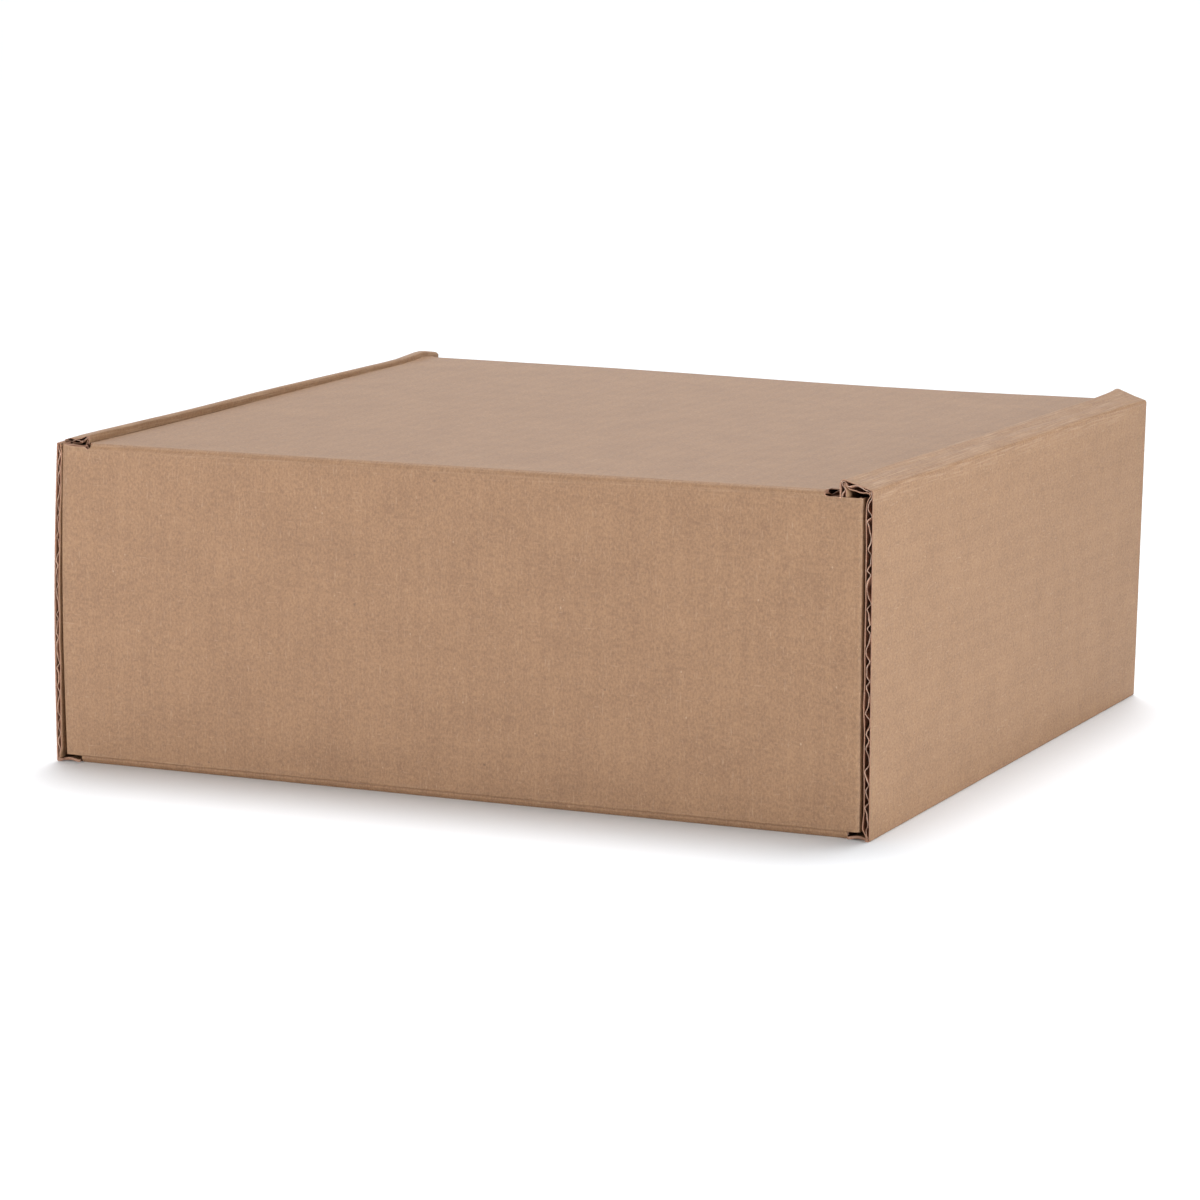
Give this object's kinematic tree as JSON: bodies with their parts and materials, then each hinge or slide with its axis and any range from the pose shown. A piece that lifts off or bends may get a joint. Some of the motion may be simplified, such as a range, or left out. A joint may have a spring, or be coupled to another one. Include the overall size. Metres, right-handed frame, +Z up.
{
  "type": "corrugated mailer box",
  "caption": "Closed roll-end tuck-top mailer box of corrugated kraft board, with a lid that lifts on its rear crease.",
  "frame": {"origin": "centre of the footprint, on the surface that the box stands on", "axes": "+Z up; -Y out of the hinge wall, to which the lid is creased; +X to the right as one faces that wall"},
  "size_m": [0.3, 0.27, 0.1146],
  "materials": {
    "kraft_board": "uncoated brown kraft liner, matt"
  },
  "bodies": {
    "tray": {"tray": "kraft_board", "tray_ends": "kraft_board"},
    "lid": {"lid": "kraft_board"}
  },
  "joints": [
    {"name": "lid_hinge", "type": "hinge", "parent": "tray", "child": "lid", "pos_m": [0, -0.135, 0.1112], "axis": [1, 0, 0], "range_deg": [0, 180]}
  ]
}
